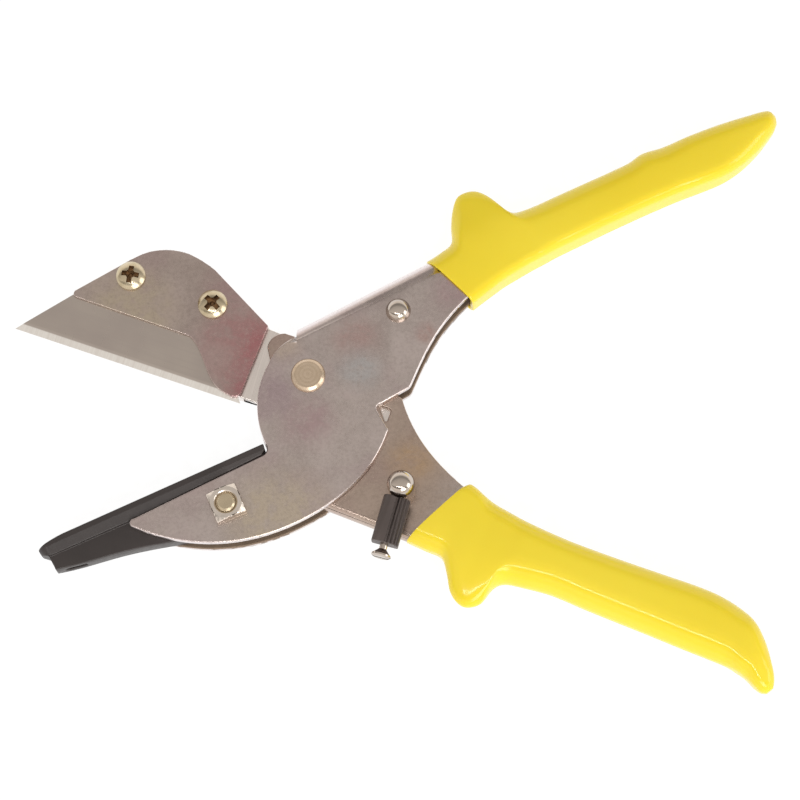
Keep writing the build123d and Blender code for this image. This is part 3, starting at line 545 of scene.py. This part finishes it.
# ---------------------------------------------------------------- grips, dipped over the two handles
# a rib is (far side x, y, near side x, y, half thickness, far round, near round), mouth first
UPPER_RIBS = (
    (30.0, 30.9, 42.0, 19.2, 5.7, 5.0, 2.6), (33.3, 33.1, 44.6, 21.3, 5.8, 5.0, 2.5),
    (36.2, 35.6, 47.3, 23.4, 5.9, 4.8, 2.4), (36.2, 40.0, 49.8, 25.3, 5.9, 4.6, 2.3),
    (36.6, 44.6, 52.5, 27.0, 6.0, 4.4, 2.3), (38.0, 48.4, 55.0, 28.5, 6.0, 4.2, 2.3),
    (41.7, 49.8, 57.0, 29.7, 6.1, 4.2, 2.3), (45.1, 48.7, 59.0, 30.8, 6.1, 4.4, 2.3),
    (48.8, 45.2, 60.5, 31.6, 6.1, 4.8, 2.3), (51.9, 43.8, 62.5, 32.7, 6.2, 5.8, 2.6),
    (56.3, 45.0, 65.0, 34.0, 6.2, 5.8, 2.6), (62.0, 47.6, 69.5, 36.2, 6.2, 5.8, 2.6),
    (70.0, 51.3, 76.0, 39.4, 6.2, 5.8, 2.6), (77.0, 54.5, 81.5, 42.0, 6.2, 5.8, 2.6),
    (81.9, 56.9, 86.0, 44.1, 6.2, 5.8, 2.6), (85.4, 59.4, 90.5, 46.1, 6.2, 5.8, 2.6),
    (90.8, 61.1, 95.5, 48.2, 6.2, 5.8, 2.7), (97.0, 63.7, 101.0, 50.3, 6.1, 5.0, 2.6),
    (103.3, 66.2, 106.5, 52.6, 6.0, 5.0, 2.9), (108.5, 68.0, 111.0, 55.5, 5.7, 4.8, 3.3),
    (113.0, 69.4, 115.0, 59.2, 5.2, 4.4, 3.6), (116.5, 70.5, 117.8, 62.6, 4.4, 3.8, 3.4),
    (118.6, 70.7, 119.6, 65.2, 3.2, 2.8, 2.6), (120.0, 69.6, 120.4, 67.2, 1.4, 1.1, 1.1))
UPPER_CAVITY = (
    (30.3, 30.5, 41.0, 20.2, 4.7, 4.6, 0.8), (38.2, 35.0, 50.0, 28.0, 4.7, 4.6, 0.8),
    (47.5, 39.9, 62.0, 34.8, 4.7, 4.6, 0.8), (65.3, 47.9, 75.0, 41.0, 4.7, 4.6, 0.8),
    (79.0, 54.0, 86.0, 46.1, 4.7, 4.6, 0.8), (95.0, 61.0, 98.0, 51.3, 4.7, 4.6, 0.8))
LOWER_RIBS = (
    (24.8, -42.3, 39.8, -28.6, 5.6, 4.0, 3.2), (29.5, -44.5, 40.9, -28.2, 5.7, 4.0, 3.2),
    (33.4, -46.4, 42.3, -29.1, 5.8, 4.0, 3.3), (34.7, -50.5, 44.0, -30.7, 5.9, 4.2, 3.4),
    (35.5, -55.0, 46.0, -32.3, 6.0, 5.6, 4.8), (37.3, -57.9, 48.0, -33.7, 6.0, 5.6, 4.8),
    (39.7, -59.1, 50.0, -34.9, 6.1, 5.6, 4.8), (43.1, -58.2, 52.2, -36.2, 6.1, 5.6, 4.8),
    (46.1, -54.6, 54.2, -37.3, 6.1, 5.9, 5.0), (49.1, -53.3, 56.5, -38.5, 6.2, 5.9, 5.0),
    (54.1, -54.3, 60.0, -40.2, 6.2, 5.9, 5.0), (60.8, -56.2, 65.5, -42.7, 6.2, 5.9, 5.0),
    (68.5, -59.6, 72.5, -45.5, 6.2, 5.9, 5.0), (76.5, -63.0, 80.5, -48.5, 6.2, 5.9, 5.0),
    (84.6, -66.4, 88.5, -51.4, 6.2, 5.9, 5.0), (92.5, -69.8, 96.5, -54.3, 6.2, 5.9, 5.0),
    (98.8, -72.4, 102.5, -56.9, 6.2, 5.9, 5.2), (103.5, -74.4, 107.5, -60.1, 6.1, 5.6, 5.4),
    (106.0, -75.8, 111.0, -63.7, 5.9, 4.4, 4.2), (108.3, -77.6, 113.4, -68.6, 5.3, 4.2, 4.2),
    (110.2, -79.6, 114.8, -74.3, 4.0, 2.5, 2.5), (111.8, -81.0, 115.3, -77.6, 2.8, 2.0, 2.0),
    (113.3, -81.3, 115.0, -80.0, 1.4, 0.9, 0.9))
LOWER_CAVITY = (
    (25.0, -42.3, 39.3, -28.7, 2.65, 0.8, 0.8), (34.1, -46.0, 47.0, -34.8, 2.65, 0.8, 0.8),
    (44.0, -50.0, 56.0, -39.8, 2.65, 0.8, 0.8), (60.8, -55.0, 69.0, -45.9, 2.65, 0.8, 0.8),
    (84.6, -62.1, 85.0, -51.9, 2.65, 0.8, 0.8), (94.8, -65.2, 96.0, -56.2, 2.65, 0.8, 0.8))
sleeve("upper_grip_sleeve", UPPER_RIBS, UPPER_CAVITY, PVC, "body", ("upper_grip",))
sleeve("lower_grip_sleeve", LOWER_RIBS, LOWER_CAVITY, PVC, "lever", ("lower_grip",))

# ---------------------------------------------------------------- floor, light and camera
floor_mesh = bpy.data.meshes.new("floor")
SIDE = 3.0
corners = [(-SIDE, -SIDE, 0), (SIDE, -SIDE, 0), (SIDE, SIDE, 0), (-SIDE, SIDE, 0)]
floor_mesh.from_pydata(corners, [], [(0, 1, 2, 3)])
floor = bpy.data.objects.new("floor", floor_mesh)
bpy.context.scene.collection.objects.link(floor)
paper = Shader("paper", Roughness=0.95)
grain = paper.noise(paper.coords, 300, 2)
paper.link(paper.ramp(grain, (0.3, 0.14), (0.7, 0.16)), "Base Color")
paper.link(paper.ramp(grain, (0.3, 0.98), (0.7, 1.0)), "Emission Color")
paper.bsdf.inputs["Emission Strength"].default_value = 0.93
floor_mesh.materials.append(paper.material)


def softbox(name, place, size, power, colour=(1, 1, 1), aim=(0.02, 0, 0)):
    light = bpy.data.lights.new(name, "AREA")
    light.shape = "RECTANGLE"
    light.size, light.size_y = size
    light.energy = power
    light.color = colour
    lamp = bpy.data.objects.new(name, light)
    lamp.location = place
    lamp.rotation_mode = "QUATERNION"
    lamp.rotation_quaternion = (Vector(place) - Vector(aim)).to_track_quat("Z", "Y")
    bpy.context.scene.collection.objects.link(lamp)
    return lamp


softbox("key", (0.35, -0.85, 0.50), (0.6, 0.4), 2.6)
softbox("strip", (-0.1, -0.60, 0.80), (0.9, 0.035), 1.6)
softbox("side", (0.95, -0.25, 0.35), (0.5, 0.5), 1.5)

# the studio by the angle off the zenith toward +Y: bright wall in front, dimmer ceiling, darker wall behind
SKY = ((-90, 0.80), (-70, 1.0), (-58, 1.1), (-52, 0.34), (-42, 0.32), (-34, 0.80), (0, 0.70), (16, 0.63),
       (30, 0.55), (42, 0.36), (58, 0.36), (68, 1.0), (90, 1.15))
SKY_TINT = (1.0, 0.94, 0.88)
world = bpy.data.worlds.new("studio")
world.use_nodes = True
sky = world.node_tree
direction = sky.nodes.new("ShaderNodeTexCoord").outputs["Generated"]
split = sky.nodes.new("ShaderNodeSeparateXYZ")
sky.links.new(direction, split.inputs[0])
tilt = sky.nodes.new("ShaderNodeMath")
tilt.operation = "ARCTAN2"
sky.links.new(split.outputs["Y"], tilt.inputs[0])
sky.links.new(split.outputs["Z"], tilt.inputs[1])
turn = sky.nodes.new("ShaderNodeMapRange")
sky.links.new(tilt.outputs[0], turn.inputs[0])
turn.inputs[1].default_value = -math.pi / 2
turn.inputs[2].default_value = math.pi / 2
fade = sky.nodes.new("ShaderNodeValToRGB")
sky.links.new(turn.outputs[0], fade.inputs[0])
while len(fade.color_ramp.elements) < len(SKY):
    fade.color_ramp.elements.new(0.5)
for element, (angle, grey) in zip(fade.color_ramp.elements, SKY):
    element.position = (angle + 90) / 180
    element.color = (*(grey * c for c in SKY_TINT), 1)
sky.links.new(fade.outputs[0], sky.nodes["Background"].inputs[0])
sky.nodes["Background"].inputs[1].default_value = 1.0
bpy.context.scene.world = world

TILT = math.radians(15.5)       # camera off the vertical
SWING = math.radians(8.0)       # and round it
DISTANCE = 0.8
LENS = 142.9
TARGET = Vector((23.24, -6.64, 11.0)) * MM
back = Vector((math.sin(TILT) * math.sin(SWING), -math.sin(TILT) * math.cos(SWING), math.cos(TILT)))
right = (-back).cross(Vector((0, 1, 0))).normalized()
up = back.cross(right)
camera_data = bpy.data.cameras.new("camera")
camera_data.lens = LENS
camera_data.sensor_width = 36
camera_data.clip_start = 0.01
camera = bpy.data.objects.new("camera", camera_data)
turn_to = Matrix((right, up, back)).transposed().to_4x4()
camera.matrix_world = Matrix.Translation(TARGET + back * DISTANCE) @ turn_to
bpy.context.scene.collection.objects.link(camera)
bpy.context.scene.camera = camera
bpy.context.scene.view_settings.view_transform = "Standard"
